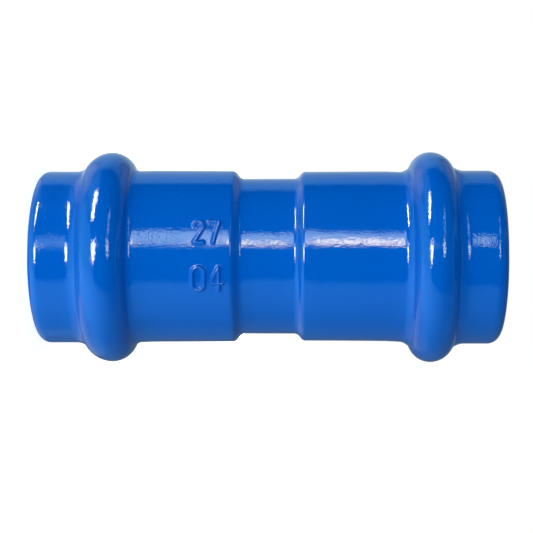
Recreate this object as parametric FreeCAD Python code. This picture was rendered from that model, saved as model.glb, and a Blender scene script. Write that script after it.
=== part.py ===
import FreeCAD, Part
import math
import os

# Double socket collar for plastic pressure pipe. One coated iron casting joins two pipe
# ends, and a rubber lip seal sits in a groove behind each mouth.
# Millimetres. +Z runs along the pipe axis and the origin is the middle of the neck.
# The collar stands on its lower mouth. Both ends are alike.

# Pipe and its fit
pipe_diameter = 63.0
pipe_clearance = 0.5            # radial, pipe to socket bore

# Casting, lengths
overall_length = 207.0
socket_depth = 87.0             # mouth face to the pipe stop
neck_length = 28.0              # between the middles of the two outside steps
groove_from_mouth = 31.8        # mouth face to the middle of the seal groove

# Casting, section
casting_wall = 6.3
neck_bore_diameter = 57.2
step_angle = 51.0               # degrees from the axis
step_root_radius = 3.2
step_edge_radius = 2.4
tube_draft = 0.2                # radial growth of the tube from the step to the bulge
mouth_band_rise = 0.5           # the mouth band stands this far over the tube
mouth_edge_radius = 5.0
lead_in_length = 3.0
lead_in_rise = 0.8
lead_in_blend_radius = 4.0
stop_root_radius = 1.2
stop_edge_radius = 1.6

# Seal groove and the bulge over it
groove_width = 11.4
groove_depth = 9.05
groove_root_radius = 4.2
groove_edge_radius = 0.8
bulge_side_wall = 4.65
bulge_tube_fillet = 4.5
bulge_mouth_fillet = 9.2

# Lip seal
seal_clearance = 0.1            # all round in the groove
seal_grip = 1.3                 # radial squeeze of the lip on the pipe
seal_heel_setback = 0.9         # the heel stops this far outside the socket bore
seal_lip_thickness = 2.3
seal_lip_tip_radius = 0.7
seal_slot_root_radius = 0.9
seal_slot_depth = 5.6           # axial depth of the slot that frees the lip
seal_slot_opening = 3.4         # radial width of the slot at its mouth
seal_slot_lean = 0.7            # the slot's root lies this far outside its middle
seal_corner_radius = 0.8

# Worked out from the sizes above
half_length = overall_length / 2
bore_radius = pipe_diameter / 2 + pipe_clearance
neck_bore_radius = neck_bore_diameter / 2
neck_radius = neck_bore_radius + casting_wall
tube_radius = bore_radius + casting_wall
band_radius = tube_radius + mouth_band_rise
stop_z = half_length - socket_depth
groove_z = half_length - groove_from_mouth
groove_radius = bore_radius + groove_depth
groove_top_z = groove_z + groove_width / 2
groove_bottom_z = groove_z - groove_width / 2
bulge_radius = groove_width / 2 + bulge_side_wall
bulge_centre_r = groove_radius + casting_wall - bulge_radius


def at(r, z):
    return FreeCAD.Vector(r, 0, z)


# Start, middle and end of the arc that rounds a corner between two straight runs
def rounded(before, corner, after, radius):
    back = (before - corner).normalize()
    on = (after - corner).normalize()
    half_turn = back.getAngle(on) / 2
    reach = radius / math.tan(half_turn)
    inward = (back + on).normalize()
    centre = corner + inward * (radius / math.sin(half_turn))
    return (corner + back * reach, centre - inward * radius, corner + on * reach)


# Start, middle and end of the arc of under half a turn about a centre
def arc_about(centre, start, end):
    radius = (start - centre).Length
    outward = ((start - centre) + (end - centre)).normalize()
    return (start, centre + outward * radius, end)


# Centre of the fillet that lies on a straight run and touches the bulge from outside
def fillet_centre(run_point, run_direction, run_normal, fillet, round_centre, round_radius):
    offset = run_point + run_normal * fillet - round_centre
    along = offset.dot(run_direction)
    reach = (round_radius + fillet) ** 2 - offset.Length ** 2 + along ** 2
    return round_centre + offset + run_direction * (math.sqrt(reach) - along)


# Closed wire through points and arcs, with a straight edge wherever there is a gap
def closed_wire(pieces):
    runs = [piece if isinstance(piece, tuple) else (piece, piece) for piece in pieces]
    edges = []
    for index, run in enumerate(runs):
        before = runs[index - 1][-1]
        if (before - run[0]).Length > 1e-6:
            edges.append(Part.LineSegment(before, run[0]).toShape())
        if len(run) == 3:
            edges.append(Part.Arc(*run).toShape())
    return Part.Wire(edges)


def turned(pieces):
    face = Part.Face(closed_wire(pieces))
    return face.revolve(FreeCAD.Vector(0, 0, 0), FreeCAD.Vector(0, 0, 1), 360)


def corner_arcs(corners):
    arcs = []
    for index in range(1, len(corners) - 1):
        before, corner, after = [at(c[0], c[1]) for c in corners[index - 1:index + 2]]
        arcs.append(rounded(before, corner, after, corners[index][2]))
    return arcs


# Outside of the upper half: neck, step, tube, bulge, mouth band and rounded mouth edge
def outside_outline():
    step_run = (tube_radius - neck_radius) / math.tan(math.radians(step_angle))
    step_start_z = neck_length / 2 - step_run / 2
    step_end_z = neck_length / 2 + step_run / 2
    neck_middle = at(neck_radius, 0)
    step_root = at(neck_radius, step_start_z)
    step_edge = at(tube_radius, step_end_z)
    tube_end = at(tube_radius + tube_draft, groove_z)
    band_start = at(band_radius, groove_z)
    mouth_corner = at(band_radius, half_length)
    mouth_inner = at(bore_radius, half_length)

    bulge_centre = at(bulge_centre_r, groove_z)
    tube_back = (step_edge - tube_end).normalize()
    tube_normal = FreeCAD.Vector(-tube_back.z, 0, tube_back.x)
    tube_fillet = fillet_centre(
        tube_end, tube_back, tube_normal, bulge_tube_fillet, bulge_centre, bulge_radius)
    mouth_fillet = fillet_centre(
        band_start, at(0, 1), at(1, 0), bulge_mouth_fillet, bulge_centre, bulge_radius)
    share = bulge_radius / (bulge_radius + bulge_tube_fillet)
    bulge_start = bulge_centre + (tube_fillet - bulge_centre) * share
    share = bulge_radius / (bulge_radius + bulge_mouth_fillet)
    bulge_end = bulge_centre + (mouth_fillet - bulge_centre) * share

    return [
        neck_middle,
        rounded(neck_middle, step_root, step_edge, step_root_radius),
        rounded(step_root, step_edge, tube_end, step_edge_radius),
        arc_about(tube_fillet, tube_fillet - tube_normal * bulge_tube_fillet, bulge_start),
        arc_about(bulge_centre, bulge_start, bulge_end),
        arc_about(mouth_fillet, bulge_end, mouth_fillet - at(bulge_mouth_fillet, 0)),
        rounded(band_start, mouth_corner, mouth_inner, mouth_edge_radius),
    ]


# Inside of the upper half: lead-in, socket bore with the seal groove, pipe stop, neck bore
def inside_outline():
    lead_in_z = half_length - lead_in_length
    mouth = (bore_radius + lead_in_rise, half_length, 0)
    middle = (neck_bore_radius, 0, 0)
    corners = [
        mouth,
        (bore_radius, lead_in_z, lead_in_blend_radius),
        (bore_radius, groove_top_z, groove_edge_radius),
        (groove_radius, groove_top_z, groove_root_radius),
        (groove_radius, groove_bottom_z, groove_root_radius),
        (bore_radius, groove_bottom_z, groove_edge_radius),
        (bore_radius, stop_z, stop_root_radius),
        (neck_bore_radius, stop_z, stop_edge_radius),
        middle,
    ]
    return [at(mouth[0], mouth[1])] + corner_arcs(corners) + [at(middle[0], middle[1])]


def collar_casting():
    upper_half = turned(outside_outline() + inside_outline())
    lower_half = upper_half.mirror(FreeCAD.Vector(0, 0, 0), FreeCAD.Vector(0, 0, 1))
    return upper_half.fuse(lower_half).removeSplitter()


# Seal for the upper groove. The heel fills the groove, and a lip slopes in from the mouth
# side to grip the pipe, with a slot behind it that water pressure opens.
def upper_gasket():
    heel_top_z = groove_top_z - seal_clearance
    heel_bottom_z = groove_bottom_z + seal_clearance
    heel_radius = groove_radius - seal_clearance
    heel_inner_radius = bore_radius + seal_heel_setback
    heel_root_radius = groove_root_radius - seal_clearance
    lip_radius = pipe_diameter / 2 - seal_grip
    slot_root_z = heel_bottom_z + seal_slot_depth
    slot_inner_r = lip_radius + seal_lip_thickness
    slot_outer_r = slot_inner_r + seal_slot_opening
    slot_root_r = (slot_inner_r + slot_outer_r) / 2 + seal_slot_lean
    corners = [
        (heel_radius, heel_bottom_z, heel_root_radius),
        (slot_outer_r, heel_bottom_z, seal_corner_radius),
        (slot_root_r, slot_root_z, seal_slot_root_radius),
        (slot_inner_r, heel_bottom_z, seal_lip_tip_radius),
        (lip_radius, heel_bottom_z, seal_lip_tip_radius),
        (heel_inner_radius, heel_top_z, seal_corner_radius),
        (heel_radius, heel_top_z, heel_root_radius),
    ]
    return turned(corner_arcs([corners[-1]] + corners + [corners[0]]))


def main():
    casting = collar_casting()
    upper = upper_gasket()
    lower = upper.mirror(FreeCAD.Vector(0, 0, 0), FreeCAD.Vector(0, 0, 1))
    nodes = {
        "collar_casting": casting,
        "upper_gasket": upper,
        "lower_gasket": lower,
    }
    os.makedirs("parts", exist_ok=True)
    for name, shape in nodes.items():
        shape.exportStep("parts/" + name + ".step")
        box = shape.BoundBox
        print(name, "valid", shape.isValid(), "volume", round(shape.Volume, 1),
              "x", round(box.XMin, 2), round(box.XMax, 2),
              "z", round(box.ZMin, 2), round(box.ZMax, 2))


main()
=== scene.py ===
import math

import bpy
from mathutils import Matrix, Vector


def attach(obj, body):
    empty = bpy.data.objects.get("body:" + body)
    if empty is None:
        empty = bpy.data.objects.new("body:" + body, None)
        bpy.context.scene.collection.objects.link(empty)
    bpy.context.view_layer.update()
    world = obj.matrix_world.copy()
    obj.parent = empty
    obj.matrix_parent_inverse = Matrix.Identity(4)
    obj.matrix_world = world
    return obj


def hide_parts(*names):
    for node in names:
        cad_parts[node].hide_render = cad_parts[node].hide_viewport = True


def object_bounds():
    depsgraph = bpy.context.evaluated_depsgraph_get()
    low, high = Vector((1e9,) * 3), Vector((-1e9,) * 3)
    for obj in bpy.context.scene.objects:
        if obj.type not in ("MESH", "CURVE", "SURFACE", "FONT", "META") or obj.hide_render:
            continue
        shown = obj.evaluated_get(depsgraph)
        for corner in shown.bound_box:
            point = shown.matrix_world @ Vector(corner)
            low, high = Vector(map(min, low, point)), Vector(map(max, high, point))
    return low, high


# Double socket collar: an iron casting coated in blue epoxy, with a rubber seal in each end.
# The scene is in metres; a size in a dictionary is in millimetres where its comment says so

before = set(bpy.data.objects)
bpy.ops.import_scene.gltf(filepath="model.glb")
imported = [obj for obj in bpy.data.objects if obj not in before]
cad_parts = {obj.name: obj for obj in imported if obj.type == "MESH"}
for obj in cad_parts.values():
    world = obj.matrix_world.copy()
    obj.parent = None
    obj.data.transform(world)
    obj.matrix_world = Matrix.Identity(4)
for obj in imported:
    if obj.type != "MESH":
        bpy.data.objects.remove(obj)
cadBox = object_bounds()
mm = 0.001
imagePixels = 533        # the picture is square
print("frame loaded:", sorted(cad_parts))


# Small helpers

# An sRGB hex value as linear red, green, blue and alpha
def linearColour(hexText):
    channels = [int(hexText[i:i + 2], 16) / 255 for i in (1, 3, 5)]
    return [c / 12.92 if c <= 0.04045 else ((c + 0.055) / 1.055) ** 2.4 for c in channels] + [1.0]


# A node with its settings; an input is given a value, or a socket to link from
def addNode(tree, kind, inputs=None, **settings):
    node = tree.nodes.new(kind)
    for name, value in settings.items():
        setattr(node, name, value)
    for socket, source in (inputs or {}).items():
        if isinstance(source, bpy.types.NodeSocket):
            tree.links.new(source, node.inputs[socket])
        else:
            node.inputs[socket].default_value = source
    return node


def meshObject(name, vertices, edges=(), faces=()):
    mesh = bpy.data.meshes.new(name)
    mesh.from_pydata([tuple(v) for v in vertices], list(edges), list(faces))
    mesh.update()
    piece = bpy.data.objects.new(name, mesh)
    bpy.context.scene.collection.objects.link(piece)
    return piece


# Directions are the picture's: the collar lies across it, so the picture's right is +Z, its
# upper side is -X, and the camera stands at -Y. Two angles in degrees give a direction: up,
# from the camera over the picture's upper side to behind the collar, and right
def towards(up, right):
    up, right = math.radians(up), math.radians(right)
    return Vector((-math.cos(right) * math.sin(up), -math.cos(right) * math.cos(up),
                   math.sin(right)))


# The same by height over the horizon and by bearing, from the camera to the picture's right
def levelTowards(height, bearing):
    height, bearing = math.radians(height), math.radians(bearing)
    return Vector((-math.sin(height), -math.cos(height) * math.cos(bearing),
                   math.cos(height) * math.sin(bearing)))


def newMaterial(name):
    material = bpy.data.materials.new(name)
    material.use_nodes = True
    material.node_tree.nodes.clear()
    return material, material.node_tree


# Materials

coatSettings = dict(
    colour="#0059C1", thinColour="#005FC8",     # fully covered, and where the coat runs thinner
    roughness=0.02, ior=1.5, gloss=0.5,
    patchSize=35.0,                             # mm, drift of the coat's shade
    creaseSize=1.5, creaseDepth=0.005,          # mm, creases between the cells of the peel
    creaseWidth=0.25,                           # share of a cell
    peelSize=0.85, peelDepth=0.06,              # mm, orange peel left as the powder melts
    waveSize=7.0, waveDepth=0.07,               # mm, the cast skin under the coat
    # places on the crests where the gloss is turned off to paint out the key light's highlight:
    # height, degrees up from the front
    paintedOutHighlights=[(-69.8, 13.0), (72.0, 13.0)], crestRadius=47.3,
    paintedOutSize=(15.0, 15.0, 5.0),               # mm
    paintedOutCore=0.75,                            # share of its reach where the highlight is wholly painted out
)


def makeEpoxyCoat():
    # Fusion-bonded epoxy powder coat on grit-blasted cast iron: a thick wet-looking gloss
    # with a fine orange peel, over the slow unevenness of a sand-cast skin
    s = coatSettings
    material, tree = newMaterial("fusionBondedEpoxyOnIron")
    place = addNode(tree, "ShaderNodeTexCoord").outputs["Object"]
    patch = addNode(tree, "ShaderNodeTexNoise", {
        "Vector": place, "Scale": 1 / (s["patchSize"] * mm), "Detail": 2.0})
    shade = addNode(tree, "ShaderNodeMix", {
        0: patch.outputs[0], 6: linearColour(s["colour"]), 7: linearColour(s["thinColour"])},
        data_type="RGBA")
    wave = addNode(tree, "ShaderNodeTexNoise", {
        "Vector": place, "Scale": 1 / (s["waveSize"] * mm), "Detail": 1.0})
    peel = addNode(tree, "ShaderNodeTexNoise", {
        "Vector": place, "Scale": 1 / (s["peelSize"] * mm), "Detail": 1.0})
    waveBump = addNode(tree, "ShaderNodeBump", {
        "Height": wave.outputs[0], "Distance": s["waveDepth"] * mm, "Strength": 1.0})
    peelBump = addNode(tree, "ShaderNodeBump", {
        "Height": peel.outputs[0], "Distance": s["peelDepth"] * mm, "Strength": 1.0,
        "Normal": waveBump.outputs[0]})
    cell = addNode(tree, "ShaderNodeTexVoronoi", {
        "Vector": place, "Scale": 1 / (s["creaseSize"] * mm)}, feature="DISTANCE_TO_EDGE")
    crease = addNode(tree, "ShaderNodeMapRange", {
        0: cell.outputs["Distance"], 2: s["creaseWidth"]}, interpolation_type="SMOOTHSTEP")
    creaseBump = addNode(tree, "ShaderNodeBump", {
        "Height": crease.outputs[0], "Distance": s["creaseDepth"] * mm, "Strength": 1.0,
        "Normal": peelBump.outputs[0]})
    gloss = s["gloss"]
    # Painted-out highlights: around each spot the gloss falls to nothing, so the key light leaves
    # no highlight there
    for z, up in s["paintedOutHighlights"]:
        middle = towards(up, 0) * s["crestRadius"] + Vector((0, 0, z))
        offset = addNode(tree, "ShaderNodeVectorMath", {
            0: place, 1: middle * mm}, operation="SUBTRACT")
        reach = addNode(tree, "ShaderNodeVectorMath", {
            0: offset.outputs[0], 1: [2 / (size * mm) for size in s["paintedOutSize"]]},
            operation="MULTIPLY")
        share = addNode(tree, "ShaderNodeVectorMath", {0: reach.outputs[0]}, operation="LENGTH")
        gloss = addNode(tree, "ShaderNodeMapRange", {
            0: share.outputs["Value"], 1: s["paintedOutCore"], 2: 1.0, 3: 0.0, 4: gloss},
            interpolation_type="SMOOTHSTEP").outputs[0]
    surface = addNode(tree, "ShaderNodeBsdfPrincipled", {
        "Base Color": shade.outputs[2], "Roughness": s["roughness"], "IOR": s["ior"],
        "Specular IOR Level": gloss, "Normal": creaseBump.outputs[0]})
    addNode(tree, "ShaderNodeOutputMaterial", {"Surface": surface.outputs[0]})
    return material


rubberSettings = dict(
    colour="#1B1C1D", bloomColour="#2B2C2D",    # moulded black, and where the wax has bloomed
    roughness=(0.42, 0.58), ior=1.5,
    bloomSize=9.0,                              # mm
    grainSize=0.5, grainDepth=0.012,            # mm, the spark-eroded mould
)


def makeSealRubber():
    # Moulded EPDM: soft black satin with a faint grey bloom and a fine mould grain
    s = rubberSettings
    material, tree = newMaterial("mouldedEpdmRubber")
    place = addNode(tree, "ShaderNodeTexCoord").outputs["Object"]
    bloom = addNode(tree, "ShaderNodeTexNoise", {
        "Vector": place, "Scale": 1 / (s["bloomSize"] * mm), "Detail": 4.0})
    shade = addNode(tree, "ShaderNodeMix", {
        0: bloom.outputs[0], 6: linearColour(s["colour"]), 7: linearColour(s["bloomColour"])},
        data_type="RGBA")
    dullness = addNode(tree, "ShaderNodeMapRange", {
        0: bloom.outputs[0], 3: s["roughness"][0], 4: s["roughness"][1]})
    grain = addNode(tree, "ShaderNodeTexNoise", {
        "Vector": place, "Scale": 1 / (s["grainSize"] * mm), "Detail": 2.0})
    grainBump = addNode(tree, "ShaderNodeBump", {
        "Height": grain.outputs[0], "Distance": s["grainDepth"] * mm, "Strength": 1.0})
    surface = addNode(tree, "ShaderNodeBsdfPrincipled", {
        "Base Color": shade.outputs[2], "Roughness": dullness.outputs[0], "IOR": s["ior"],
        "Normal": grainBump.outputs[0]})
    addNode(tree, "ShaderNodeOutputMaterial", {"Surface": surface.outputs[0]})
    return material


epoxyCoat = makeEpoxyCoat()
sealRubber = makeSealRubber()
print("materials made")


# The casting, in millimetres and degrees. Its outline is turned round the axis as points of
# (radius, height)

casting = dict(
    halfLength=103.5, boreRadius=32.0, neckBoreRadius=28.6, neckRadius=35.0,
    stepAngle=51.0, stepRootRadius=3.2, stepEdgeRadius=2.4,
    stopZ=16.5, stopRootRadius=1.2, stopEdgeRadius=1.6,
    leadInLength=3.0, leadInRise=0.8, leadInBlend=4.0,
    grooveZ=71.7, grooveWidth=11.4, grooveRadius=41.05, grooveRoot=4.2, grooveEdge=0.8,
    longestRun=7.0,                             # between points on a straight run
    turnPerPoint=9.0,                           # between points on a round
    # The two ends of the cast body aren't quite alike: the pattern was dressed by hand. Each side
    # of a bulge runs down a steep flank to a crease, and then in a flare to the tube or the mouth
    lowerEnd=dict(
        neckHalf=13.75, tubeRadius=38.65, tubeGrowth=0.2, bandRadius=38.85, mouthEdge=4.7,
        bulgeZ=70.75, bulgeCrest=47.35,
        tubeSide=dict(bulgeRadius=10.75, flankAngle=65.0, creaseRadius=39.8, creaseRound=1.0,
                      flareAngle=28.0, flareRound=4.0),
        mouthSide=dict(bulgeRadius=13.0, flankAngle=60.0, creaseRadius=40.3, creaseRound=2.2,
                       flareAngle=29.0, flareRound=7.5),
    ),
    upperEnd=dict(
        neckHalf=14.0, tubeRadius=38.15, tubeGrowth=0.2, bandRadius=39.0, mouthEdge=5.6,
        bulgeZ=72.35, bulgeCrest=47.3,
        tubeSide=dict(bulgeRadius=9.8, flankAngle=65.0, creaseRadius=40.1, creaseRound=1.2,
                      flareAngle=34.0, flareRound=5.0),
        mouthSide=dict(bulgeRadius=10.7, flankAngle=63.5, creaseRadius=41.0, creaseRound=1.2,
                       flareAngle=37.0, flareRound=8.6),
    ),
    # Raised numbers, cast with the body beside the step of the lower tube. On the tube laid flat,
    # x runs up the collar and y round it from the front
    numbers=dict(
        lines=[dict(digits="27", x=(-31.2, -20.4), y=(5.6, 14.7)),
               dict(digits="04", x=(-31.9, -19.2), y=(-15.0, -5.0))],
        gap=2.6,                                # between the digits' centre lines
        crownHalf=0.1, footHalf=1.3, height=1.15,
        zone=(-34.0, -17.6),                    # up the collar, where the grid is fine
        sector=(-0.46, 0.44),                   # the same round it, in radians
        spacing=0.22,                           # of the fine grid
        faceMargin=1.0,                         # they rise from nothing deeper under the tube
    ),
    coarseColumns=104,                          # round the rest of the collar
    weldGap=0.001,                              # where the grid closes
    waveSize=45.0, waveDepth=0.22, waveSeed=3.0,             # slow unevenness of the sand mould
    shift=(0.35, 0.45), shiftStart=50.0, shiftEnd=64.0,      # the cores set low at each end
    outsideFade=0.3,                            # cosine over which the outside ends
)


def arcPoints(centre, start, end):
    a, b = start - centre, end - centre
    turn = math.atan2(a.x * b.y - a.y * b.x, a.dot(b))
    count = max(2, round(abs(math.degrees(turn)) / casting["turnPerPoint"]))
    return [centre + Matrix.Rotation(turn * i / count, 2) @ a for i in range(count + 1)]


def roundCorner(before, corner, after, radius):
    back, on = (before - corner).normalized(), (after - corner).normalized()
    halfTurn = back.angle(on) / 2
    reach = radius / math.tan(halfTurn)
    centre = corner + (back + on).normalized() * (radius / math.sin(halfTurn))
    return arcPoints(centre, corner + back * reach, corner + on * reach)


# One side of a bulge, from its crest to the foot of its flare; direction is +1 to the mouth
def bulgeSide(end, side, direction, footRadius):
    flank, flare = math.radians(side["flankAngle"]), math.radians(side["flareAngle"])
    centre = Vector((end["bulgeCrest"] - side["bulgeRadius"], end["bulgeZ"]))
    crest = Vector((end["bulgeCrest"], end["bulgeZ"]))
    arcEnd = centre + Vector((math.cos(flank), direction * math.sin(flank))) * side["bulgeRadius"]
    crease = Vector((side["creaseRadius"], arcEnd.y))
    crease.y += direction * (arcEnd.x - crease.x) / math.tan(flank)
    foot = Vector((footRadius, crease.y + direction * (crease.x - footRadius) / math.tan(flare)))
    beyond = foot + Vector((0, direction))
    return (arcPoints(centre, crest, arcEnd)
            + roundCorner(arcEnd, crease, foot, side["creaseRound"])
            + roundCorner(crease, foot, beyond, side["flareRound"]))


def outsideHalf(end):
    c = casting
    stepRun = (end["tubeRadius"] - c["neckRadius"]) / math.tan(math.radians(c["stepAngle"]))
    neckMiddle = Vector((c["neckRadius"], 0))
    stepRoot = Vector((c["neckRadius"], end["neckHalf"] - stepRun / 2))
    stepEdge = Vector((end["tubeRadius"], end["neckHalf"] + stepRun / 2))
    tubeSide = bulgeSide(end, end["tubeSide"], -1, end["tubeRadius"] + end["tubeGrowth"])
    mouthSide = bulgeSide(end, end["mouthSide"], 1, end["bandRadius"])
    mouthCorner = Vector((end["bandRadius"], c["halfLength"]))
    mouthInner = Vector((c["boreRadius"], c["halfLength"]))
    return (
        [neckMiddle]
        + roundCorner(neckMiddle, stepRoot, stepEdge, c["stepRootRadius"])
        + roundCorner(stepRoot, stepEdge, tubeSide[-1], c["stepEdgeRadius"])
        + tubeSide[::-1] + mouthSide[1:]
        + roundCorner(mouthSide[-1], mouthCorner, mouthInner, end["mouthEdge"])
    )


def insideHalf():
    c = casting
    grooveTop = c["grooveZ"] + c["grooveWidth"] / 2
    grooveBottom = c["grooveZ"] - c["grooveWidth"] / 2
    corners = [
        (c["boreRadius"] + c["leadInRise"], c["halfLength"], 0),
        (c["boreRadius"], c["halfLength"] - c["leadInLength"], c["leadInBlend"]),
        (c["boreRadius"], grooveTop, c["grooveEdge"]),
        (c["grooveRadius"], grooveTop, c["grooveRoot"]),
        (c["grooveRadius"], grooveBottom, c["grooveRoot"]),
        (c["boreRadius"], grooveBottom, c["grooveEdge"]),
        (c["boreRadius"], c["stopZ"], c["stopRootRadius"]),
        (c["neckBoreRadius"], c["stopZ"], c["stopEdgeRadius"]),
        (c["neckBoreRadius"], 0, 0),
    ]
    spots = [Vector(corner[:2]) for corner in corners]
    points = [spots[0]]
    for i in range(1, len(corners) - 1):
        points += roundCorner(spots[i - 1], spots[i], spots[i + 1], corners[i][2])
    return points + [spots[-1]]


def lowered(points):
    return [Vector((p.x, -p.y)) for p in reversed(points)]


def roundStroke(middle, radius, fromAngle, toAngle):
    count = 18
    angles = [math.radians(fromAngle + (toAngle - fromAngle) * i / count) for i in range(count + 1)]
    return [(radius + radius * math.cos(a), middle + radius * math.sin(a)) for a in angles]


# Centre line of a digit in plain drawing-office lettering, from its lower left corner
def digitStroke(digit, width, height):
    half = width / 2
    if digit == "2":
        return roundStroke(height - half, half, 170, -38) + [(0, 0), (width, 0)]
    if digit == "7":
        return [(0, height), (width, height), (width * 0.36, 0)]
    if digit == "0":
        top = roundStroke(height - half, half, 0, 180)
        return top + roundStroke(half, half, 180, 360) + [(width, height - half)]
    return [(width * 0.72, 0), (width * 0.72, height), (0, height * 0.3), (width, height * 0.3)]


def numberStrokes():
    numbers = casting["numbers"]
    vertices, edges = [], []
    for line in numbers["lines"]:
        count = len(line["digits"])
        width = (line["x"][1] - line["x"][0] - numbers["gap"] * (count - 1)) / count
        for i, digit in enumerate(line["digits"]):
            left = line["x"][0] + i * (width + numbers["gap"])
            stroke = digitStroke(digit, width, line["y"][1] - line["y"][0])
            first = len(vertices)
            vertices += [(left + x, line["y"][0] + y, 0) for x, y in stroke]
            edges += [(k, k + 1) for k in range(first, len(vertices) - 1)]
    return meshObject("numberStrokes", [Vector(v) * mm for v in vertices], edges)


# The whole closed outline, with its points closer together where the numbers stand
def castingOutline():
    points = (lowered(outsideHalf(casting["lowerEnd"])) + outsideHalf(casting["upperEnd"])[1:]
              + insideHalf() + lowered(insideHalf())[1:])
    zoneStart, zoneEnd = casting["numbers"]["zone"]
    fine = []
    for here, there in zip(points, points[1:] + points[:1]):
        spots = [here]
        if here.x > casting["neckRadius"] and here.y < zoneStart < zoneEnd < there.y:
            for z in (zoneStart, zoneEnd):
                spots.append(here.lerp(there, (z - here.y) / (there.y - here.y)))
        spots.append(there)
        for a, b in zip(spots, spots[1:]):
            inZone = len(spots) == 4 and a is spots[1]
            run = casting["numbers"]["spacing"] if inZone else casting["longestRun"]
            count = max(1, math.ceil((b - a).length / run))
            fine += [a.lerp(b, k / count) for k in range(count)]
    return meshObject("castingOutline", [Vector((p.x, 0, p.y)) * mm for p in fine])


# Geometry Nodes carry the outline round the axis on a grid that is finest at the numbers
def castingTree():
    tree = bpy.data.node_groups.new("turnedCasting", "GeometryNodeTree")
    sockets = [
        ("Outline", "NodeSocketObject"), ("Outline Points", "NodeSocketInt"),
        ("Strokes", "NodeSocketObject"), ("Fine Columns", "NodeSocketInt"),
        ("Coarse Columns", "NodeSocketInt"), ("Sector Start", "NodeSocketFloat"),
        ("Sector Angle", "NodeSocketFloat"), ("Face Radius", "NodeSocketFloat"),
        ("Crown Half Width", "NodeSocketFloat"), ("Foot Half Width", "NodeSocketFloat"),
        ("Number Height", "NodeSocketFloat"), ("Wave Size", "NodeSocketFloat"),
        ("Wave Depth", "NodeSocketFloat"), ("Seed", "NodeSocketFloat"),
        ("Lower Shift", "NodeSocketFloat"), ("Upper Shift", "NodeSocketFloat"),
        ("Shift Start", "NodeSocketFloat"), ("Shift End", "NodeSocketFloat"),
        ("Coat", "NodeSocketMaterial"),
    ]
    for name, kind in sockets:
        tree.interface.new_socket(name, in_out="INPUT", socket_type=kind)
    tree.interface.new_socket("Geometry", in_out="OUTPUT", socket_type="NodeSocketGeometry")
    given = addNode(tree, "NodeGroupInput").outputs

    def compute(operation, a, b=0.0, c=0.0):
        return addNode(tree, "ShaderNodeMath", {0: a, 1: b, 2: c}, operation=operation).outputs[0]

    def along(vector):
        return addNode(tree, "ShaderNodeSeparateXYZ", {0: vector}).outputs

    # The grid runs from -0.5 to 0.5 each way. Its corner (row, column) becomes a point of the
    # outline and an angle round the axis
    columns = compute("ADD", given["Fine Columns"], given["Coarse Columns"])
    grid = addNode(tree, "GeometryNodeMeshGrid", {
        "Vertices X": compute("ADD", given["Outline Points"], 1.0),
        "Vertices Y": compute("ADD", columns, 1.0)})
    corner = along(addNode(tree, "GeometryNodeInputPosition").outputs[0])
    row = compute("ROUND", compute("MULTIPLY", compute("ADD", corner[0], 0.5),
                                   given["Outline Points"]))
    column = compute("ROUND", compute("MULTIPLY", compute("ADD", corner[1], 0.5), columns))
    fine = compute("MINIMUM", column, given["Fine Columns"])
    fineShare = compute("DIVIDE", fine, given["Fine Columns"])
    beyond = compute("MAXIMUM", compute("SUBTRACT", column, given["Fine Columns"]), 0.0)
    coarseShare = compute("DIVIDE", beyond, given["Coarse Columns"])
    rest = compute("SUBTRACT", 2 * math.pi, given["Sector Angle"])
    angle = compute("MULTIPLY_ADD", fineShare, given["Sector Angle"], given["Sector Start"])
    angle = compute("MULTIPLY_ADD", coarseShare, rest, angle)
    outline = addNode(tree, "GeometryNodeObjectInfo", {"Object": given["Outline"]})
    spot = addNode(tree, "GeometryNodeSampleIndex", {
        "Geometry": outline.outputs["Geometry"],
        "Value": addNode(tree, "GeometryNodeInputPosition").outputs[0],
        "Index": compute("MODULO", row, given["Outline Points"])},
        data_type="FLOAT_VECTOR", domain="POINT")
    section = along(spot.outputs[0])
    # Angle 0 faces the front, -Y, and grows towards -X
    place = addNode(tree, "ShaderNodeCombineXYZ", {
        0: compute("MULTIPLY", compute("MULTIPLY", section[0], compute("SINE", angle)), -1.0),
        1: compute("MULTIPLY", compute("MULTIPLY", section[0], compute("COSINE", angle)), -1.0),
        2: section[2]})
    turned = addNode(tree, "GeometryNodeSetPosition", {
        "Geometry": grid.outputs["Mesh"], "Position": place.outputs[0]})
    closed = addNode(tree, "GeometryNodeMergeByDistance", {
        "Geometry": turned.outputs[0], "Distance": casting["weldGap"] * mm})

    # Which way is out, and how far out a point lies
    here = addNode(tree, "GeometryNodeInputPosition").outputs[0]
    flat = addNode(tree, "ShaderNodeVectorMath", {0: here, 1: (1, 1, 0)}, operation="MULTIPLY")
    outward = addNode(tree, "ShaderNodeVectorMath", {0: flat.outputs[0]}, operation="NORMALIZE")
    outward = outward.outputs[0]
    radius = addNode(tree, "ShaderNodeVectorMath", {0: flat.outputs[0]}, operation="LENGTH")
    radius = radius.outputs["Value"]

    # Raised numbers: height falls off with the distance to the strokes, laid flat
    spread = along(here)
    upPicture = compute("MULTIPLY", spread[0], -1.0)
    turn = compute("ARCTAN2", upPicture, compute("MULTIPLY", spread[1], -1.0))
    flatPlace = addNode(tree, "ShaderNodeCombineXYZ", {
        0: spread[2], 1: compute("MULTIPLY", turn, given["Face Radius"])})
    strokes = addNode(tree, "GeometryNodeObjectInfo", {"Object": given["Strokes"]})
    near = addNode(tree, "GeometryNodeProximity", {
        0: strokes.outputs["Geometry"], "Sample Position": flatPlace.outputs[0]},
        target_element="EDGES")
    rise = addNode(tree, "ShaderNodeMapRange", {
        0: near.outputs["Distance"], 1: given["Crown Half Width"], 2: given["Foot Half Width"],
        3: given["Number Height"], 4: 0.0}, interpolation_type="SMOOTHSTEP")
    lowest = compute("SUBTRACT", given["Face Radius"], casting["numbers"]["faceMargin"] * mm)
    onFace = compute("GREATER_THAN", radius, lowest)
    rise = compute("MULTIPLY", rise.outputs[0], onFace)

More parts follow.
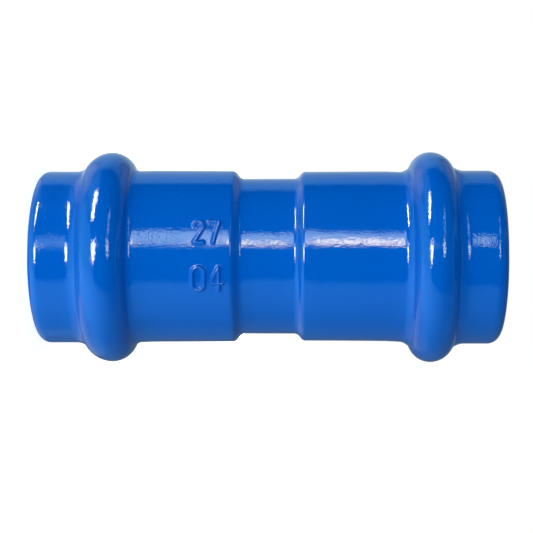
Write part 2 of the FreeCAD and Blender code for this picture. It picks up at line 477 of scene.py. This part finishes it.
    # Slow unevenness and the shift, on the outside only, so that the pipes' seats stay true
    noise = addNode(tree, "ShaderNodeTexNoise", {
        "Vector": here, "W": given["Seed"], "Detail": 1.0,
        "Scale": compute("DIVIDE", 1.0, given["Wave Size"])}, noise_dimensions="4D")
    normal = addNode(tree, "GeometryNodeInputNormal").outputs[0]
    facing = addNode(tree, "ShaderNodeVectorMath", {
        0: normal, 1: outward}, operation="DOT_PRODUCT")
    outside = addNode(tree, "ShaderNodeMapRange", {
        0: facing.outputs["Value"], 1: -casting["outsideFade"], 2: casting["outsideFade"]},
        interpolation_type="SMOOTHSTEP")
    wave = compute("MULTIPLY", compute("SUBTRACT", noise.outputs[0], 0.5), given["Wave Depth"])
    wave = compute("MULTIPLY", wave, outside.outputs[0])
    push = addNode(tree, "ShaderNodeVectorMath", {0: outward, "Scale": compute("ADD", wave, rise)},
                   operation="SCALE")
    upper = compute("GREATER_THAN", spread[2], 0.0)
    shift = addNode(tree, "ShaderNodeMix", {
        0: upper, 2: given["Lower Shift"], 3: given["Upper Shift"]}, data_type="FLOAT")
    shift = addNode(tree, "ShaderNodeMapRange", {
        0: compute("ABSOLUTE", spread[2]), 1: given["Shift Start"], 2: given["Shift End"],
        4: shift.outputs[0]}, interpolation_type="SMOOTHSTEP")
    sideways = addNode(tree, "ShaderNodeCombineXYZ", {
        0: compute("MULTIPLY", shift.outputs[0], outside.outputs[0])})
    offset = addNode(tree, "ShaderNodeVectorMath", {0: push.outputs[0], 1: sideways.outputs[0]})
    cast = addNode(tree, "GeometryNodeSetPosition", {
        "Geometry": closed.outputs[0], "Offset": offset.outputs[0]})
    smooth = addNode(tree, "GeometryNodeSetShadeSmooth", {"Geometry": cast.outputs[0]})
    real = addNode(tree, "GeometryNodeRealizeInstances", {"Geometry": smooth.outputs[0]})
    coated = addNode(tree, "GeometryNodeSetMaterial", {
        "Geometry": real.outputs[0], "Material": given["Coat"]})
    addNode(tree, "NodeGroupOutput", {"Geometry": coated.outputs[0]})
    return tree


def makeCasting():
    numbers = casting["numbers"]
    outline = castingOutline()
    strokes = numberStrokes()
    piece = meshObject("coatedCollarCasting", [])
    modifier = piece.modifiers.new("turnedCasting", "NODES")
    modifier.node_group = castingTree()
    low, high = numbers["sector"]
    faceRadius = casting["lowerEnd"]["tubeRadius"]
    lowerShift, upperShift = casting["shift"]
    values = {
        "Outline": outline, "Outline Points": len(outline.data.vertices), "Strokes": strokes,
        "Fine Columns": round((high - low) * faceRadius / numbers["spacing"]),
        "Coarse Columns": casting["coarseColumns"],
        "Sector Start": low, "Sector Angle": high - low, "Face Radius": faceRadius * mm,
        "Crown Half Width": numbers["crownHalf"] * mm, "Foot Half Width": numbers["footHalf"] * mm,
        "Number Height": numbers["height"] * mm, "Wave Size": casting["waveSize"] * mm,
        "Wave Depth": casting["waveDepth"] * mm, "Seed": casting["waveSeed"],
        "Lower Shift": lowerShift * mm, "Upper Shift": upperShift * mm,
        "Shift Start": casting["shiftStart"] * mm, "Shift End": casting["shiftEnd"] * mm,
        "Coat": epoxyCoat,
    }
    for socket in modifier.node_group.interface.items_tree:
        if socket.in_out == "INPUT":
            modifier[socket.identifier] = values[socket.name]
    bpy.context.view_layer.update()
    depsgraph = bpy.context.evaluated_depsgraph_get()
    mesh = bpy.data.meshes.new_from_object(piece.evaluated_get(depsgraph), depsgraph=depsgraph)
    piece.modifiers.clear()
    piece.data = mesh
    for helper in (outline, strokes):
        bpy.data.objects.remove(helper)
    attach(piece, "root")
    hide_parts("collar_casting")
    return piece


castingPiece = makeCasting()
print("casting made:", len(castingPiece.data.polygons), "faces")

for gasket in ("upper_gasket", "lower_gasket"):
    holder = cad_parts[gasket]
    for materialSlot in holder.material_slots:
        materialSlot.material = sealRubber
print("gaskets dressed")


# Studio

# Light cards that only the gloss sees. Each has its corners from the lower left to the lower
# right, the upper right and the upper left, in the two angles of its aim; rows of brightness
# from the lower edge to the upper one, each from left to right; a tint, with another for the
# upper edge if it changes; the share of its width over which it fades out; and its distance in m
reflectionCards = [
    dict(name="room", corners=[(-170, -89), (-170, 89), (190, 89), (190, -89)],
         glow=[[0.0]], tint="#000000", distance=3.9),
    dict(name="leftWall", corners=[(-60, -89), (-60, -22), (113, -54), (113, -89)],
         glow=[[2.2, 1.5], [2.2, 0.9]], tint="#79E0FF", distance=3.7),
    dict(name="rightWall", corners=[(-100, 68), (-100, 76), (113, 76), (113, 68)],
         glow=[[0.2, 0.7], [0.3, 0.8]], tint="#79E0FF", distance=3.7),
    dict(name="upperLeftWall", corners=[(44, -50), (46, -12), (118, -12), (120, -50)],
         glow=[[1.7, 0.3], [1.5, 1.0]], tint="#79D0FF", feather=0.25, distance=3.6),
    dict(name="backdrop", corners=[(113, -89), (113, 76), (180, 76), (180, -89)],
         glow=[[0.5, 1.2, 1.4, 0.4, 0.4], [0.1, 0.5, 0.9, 0.4, 0.1], [0.1, 1.2, 0.8, 0.5, 0.1]],
         tint="#80CFFF", upperTint="#DCF4FF", distance=3.5),
    dict(name="table", corners=[(-100, -89), (-100, 76), (-54, 76), (-14, -89)],
         glow=[[3.8, 2.4, 0.8, 0.7, 0.5], [3.9, 3.2, 1.5, 0.5, 0.4], [3.2, 2.8, 1.6, 0.5, 0.1]],
         tint="#76C4FF", distance=3.4),
    dict(name="tableBehind", corners=[(-180, -89), (-180, 76), (-100, 76), (-100, -89)],
         glow=[[0.1, 0.7, 0.2, 0.5, 0.1], [0.1, 0.2, 0.3, 0.2, 0.1], [0.3, 0.8, 0.6, 0.4, 0.1],
               [3.4, 2.4, 0.8, 0.7, 0.5]],
         tint="#C0E8FF", upperTint="#76C4FF", distance=3.45),
    dict(name="farTableLeft", aim=levelTowards,
         corners=[(-62, -160), (-62, -91), (-18, -91), (-18, -160)],
         glow=[[1.3, 1.7], [0.6, 1.0], [0.5, 1.5]],
         tint="#76C4FF", upperTint="#E2F8FF", distance=3.42),
    dict(name="rearLeftPanel", aim=levelTowards,
         corners=[(22, -152), (31, -104), (52, -104), (52, -150)],
         glow=[[0.85]], tint="#EAFBFF", feather=0.08, distance=3.3),
    dict(name="rearRightPanel", aim=levelTowards,
         corners=[(27, 121), (20, 160), (42, 160), (48, 118)],
         glow=[[0.4]], tint="#DCF4FF", feather=0.12, distance=3.3),
    dict(name="keyPanel", corners=[(13.5, -10), (14.5, 14), (27, 14), (35, -10)],
         glow=[[6.6, 6.4, 6.0, 5.4, 4.6]], tint="#DAFFF9", feather=0.06, distance=3.0),
    dict(name="keyCore", corners=[(14.5, -3.5), (14.5, 8.5), (22.5, 8.5), (21.5, -3.5)],
         glow=[[5, 17, 30, 18, 7]], tint="#FFF3C0", feather=0.1, distance=2.9),
    dict(name="keyTail", corners=[(10, -22), (10, -8), (24, -8), (28, -22)],
         glow=[[3.6, 1.6, 2.8]], tint="#BCF4FF", feather=0.08, distance=3.1),
    dict(name="upperLeftPane", corners=[(43.5, -39), (43.5, -29.5), (78.5, -18.5), (78.5, -28.5)],
         glow=[[38]], tint="#FFFFE8", feather=0.08, distance=3.0),
    dict(name="leftPanel", corners=[(-8, -35), (-8, -26), (16.5, -19), (16.5, -36)],
         glow=[[28, 36]], tint="#FFFFE8", feather=0.08, distance=3.0),
    dict(name="rightPanel", corners=[(-1, 25), (-1, 36), (21, 37), (21, 25)],
         glow=[[11]], tint="#F4FFE8", feather=0.2, distance=3.0),
    dict(name="rightVeil", corners=[(21, 28), (21, 36), (62, 36), (62, 28)],
         glow=[[4]], tint="#C8F0FF", feather=0.25, distance=3.0),
]


def makeCardGlow():
    # Diffuser cloth lit from behind; its light is stored on the card
    material, tree = newMaterial("backlitDiffuserCloth")
    glow = addNode(tree, "ShaderNodeAttribute", attribute_name="glow")
    light = addNode(tree, "ShaderNodeEmission", {"Color": glow.outputs["Color"], "Strength": 1.0})
    addNode(tree, "ShaderNodeOutputMaterial", {"Surface": light.outputs[0]})
    return material


# Value at a share of the way along a row of values
def between(values, share):
    place = share * (len(values) - 1)
    first = min(int(place), len(values) - 2) if len(values) > 1 else 0
    here, there = values[first], values[min(first + 1, len(values) - 1)]
    return here + (there - here) * (place - first)


def makeCard(card, material):
    cells = 24
    lowerLeft, lowerRight, upperRight, upperLeft = [Vector(c) for c in card["corners"]]
    lowTint = Vector(linearColour(card["tint"]))
    highTint = Vector(linearColour(card.get("upperTint", card["tint"])))
    aim, feather = card.get("aim", towards), card.get("feather")
    vertices, glow = [], []
    for i in range(cells + 1):
        for j in range(cells + 1):
            u, v = i / cells, j / cells
            spot = lowerLeft.lerp(lowerRight, u).lerp(upperLeft.lerp(upperRight, u), v)
            vertices.append(aim(*spot) * card["distance"])
            level = between([between(row, u) for row in card["glow"]], v)
            if feather:
                for edge in (u, 1 - u, v, 1 - v):
                    share = min(1.0, edge / feather)
                    level *= share * share * (3 - 2 * share)
            glow += [level * channel for channel in lowTint.lerp(highTint, v)]
    faces = []
    for i in range(cells):
        for j in range(cells):
            k = i * (cells + 1) + j
            faces.append((k, k + 1, k + cells + 2, k + cells + 1))
    piece = meshObject(card["name"], vertices, faces=faces)
    piece.data.attributes.new("glow", "FLOAT_COLOR", "POINT").data.foreach_set("color", glow)
    piece.data.materials.append(material)
    piece.visible_camera = False
    piece.visible_diffuse = False
    piece.visible_transmission = False
    piece.visible_shadow = False


cardGlow = makeCardGlow()
for card in reflectionCards:
    makeCard(card, cardGlow)


# Soft lamps that the gloss doesn't see. Level is the share of its own colour that a facing
# surface gives back; sizes and distances are in metres
lamps = [
    dict(name="frontLamp", towards=(0, 0), level=0.48, size=1.2, distance=2.0),
    dict(name="frontLeftLamp", towards=(-10, -32), level=0.2, size=1.2, distance=2.0),
    dict(name="upperFrontLamp", towards=(50, 0), level=0.22, size=1.2, distance=2.0),
    dict(name="upperLamp", towards=(100, 0), level=0.3, size=1.2, distance=2.0),
    dict(name="lowerLamp", towards=(-60, 10), level=0.2, size=1.2, distance=2.0),
    dict(name="leftLamp", towards=(0, -60), level=0.36, size=0.6, distance=1.0),
    dict(name="lowerLeftLamp", towards=(-100, -60), level=0.25, size=1.2, distance=2.0),
    dict(name="rearLamp", towards=(180, 0), level=0.55, size=1.2, distance=2.0),
]


def makeLamp(lamp):
    light = bpy.data.lights.new(lamp["name"], "AREA")
    light.size = lamp["size"]
    light.energy = lamp["level"] * (math.pi * lamp["distance"]) ** 2
    holder = bpy.data.objects.new(lamp["name"], light)
    direction = towards(*lamp["towards"])
    holder.location = direction * lamp["distance"]
    holder.rotation_euler = direction.to_track_quat("Z", "Y").to_euler()
    holder.visible_glossy = False
    bpy.context.scene.collection.objects.link(holder)


for lamp in lamps:
    makeLamp(lamp)


surround = dict(background="#FFFFFF", fill=0.08)


def makeWorld():
    # A white room for the eye, the gloss and clear things, and a faint fill for the rest
    world = bpy.data.worlds.new("whiteSurround")
    world.use_nodes = True
    bpy.context.scene.world = world
    tree = world.node_tree
    tree.nodes.clear()
    path = addNode(tree, "ShaderNodeLightPath").outputs
    seen = addNode(tree, "ShaderNodeMath", {
        0: path["Is Camera Ray"], 1: path["Is Glossy Ray"]}, operation="MAXIMUM")
    seen = addNode(tree, "ShaderNodeMath", {
        0: seen.outputs[0], 1: path["Is Transmission Ray"]}, operation="MAXIMUM")
    strength = addNode(tree, "ShaderNodeMapRange", {
        0: seen.outputs[0], 3: surround["fill"], 4: 1.0})
    light = addNode(tree, "ShaderNodeBackground", {
        "Color": linearColour(surround["background"]), "Strength": strength.outputs[0]})
    addNode(tree, "ShaderNodeOutputWorld", {"Surface": light.outputs[0]})


makeWorld()

table = dict(
    colour="#F2F2F2", ownLight=(0.8, 0.97),     # glow in the painted shadow under the collar's edge, and in the open
    paintedShadowReach=35.0,                           # mm, reach of the painted shadow
    paintedShadowFull=0.5,                             # share of open sky at which the painted shadow is deepest
    front=-0.45, back=2.6, half=1.3,            # metres
)


def makeTable():
    # Opal acrylic table that glows white of itself, as a light table lit from below would; near the
    # collar its glow is turned down by ambient occlusion, a painted contact shadow, and its diffuse
    # part takes the lamps' real shadow
    material, tree = newMaterial("glowingOpalTableWithPaintedShadow")
    surface = addNode(tree, "ShaderNodeBsdfDiffuse", {"Color": linearColour(table["colour"])})
    openness = addNode(tree, "ShaderNodeAmbientOcclusion", {
        "Distance": table["paintedShadowReach"] * mm}, samples=8)
    level = addNode(tree, "ShaderNodeMapRange", {
        0: openness.outputs["AO"], 1: table["paintedShadowFull"],
        3: table["ownLight"][0], 4: table["ownLight"][1]})
    glow = addNode(tree, "ShaderNodeEmission", {"Strength": level.outputs[0]})
    both = addNode(tree, "ShaderNodeAddShader", {0: surface.outputs[0], 1: glow.outputs[0]})
    addNode(tree, "ShaderNodeOutputMaterial", {"Surface": both.outputs[0]})
    z = cadBox[0][2]
    half, front, back = table["half"], table["front"], table["back"]
    corners = [(-half, front, z), (half, front, z), (half, back, z), (-half, back, z)]
    piece = meshObject("tableTop", corners, faces=[(0, 1, 2, 3)])
    piece.data.materials.append(material)
    piece.visible_diffuse = False
    piece.visible_glossy = False
    piece.visible_shadow = False


makeTable()
print("studio set")


# Camera, level with the collar's middle and turned a quarter so that the collar lies across

view = dict(
    distance=623.3, low=4.67, along=17.5,       # mm: from the axis, below it, right of the middle
    turn=-1.724,                                # degrees, towards the picture's left
    focalPixels=1374.6, sensor=36.0,
)


def makeCamera():
    data = bpy.data.cameras.new("photoCamera")
    data.sensor_width = view["sensor"]
    data.lens = view["focalPixels"] / imagePixels * view["sensor"]
    holder = bpy.data.objects.new("photoCamera", data)
    bpy.context.scene.collection.objects.link(holder)
    turn = math.radians(view["turn"])
    forward = Vector((0, math.cos(turn), math.sin(turn)))
    up = Vector((-1, 0, 0))
    right = forward.cross(up)
    place = Matrix((right, up, -forward)).transposed().to_4x4()
    place.translation = Vector((view["low"], -view["distance"], view["along"])) * mm
    holder.matrix_world = place
    bpy.context.scene.camera = holder


makeCamera()
bpy.context.scene.view_settings.view_transform = "Standard"
print("camera set")
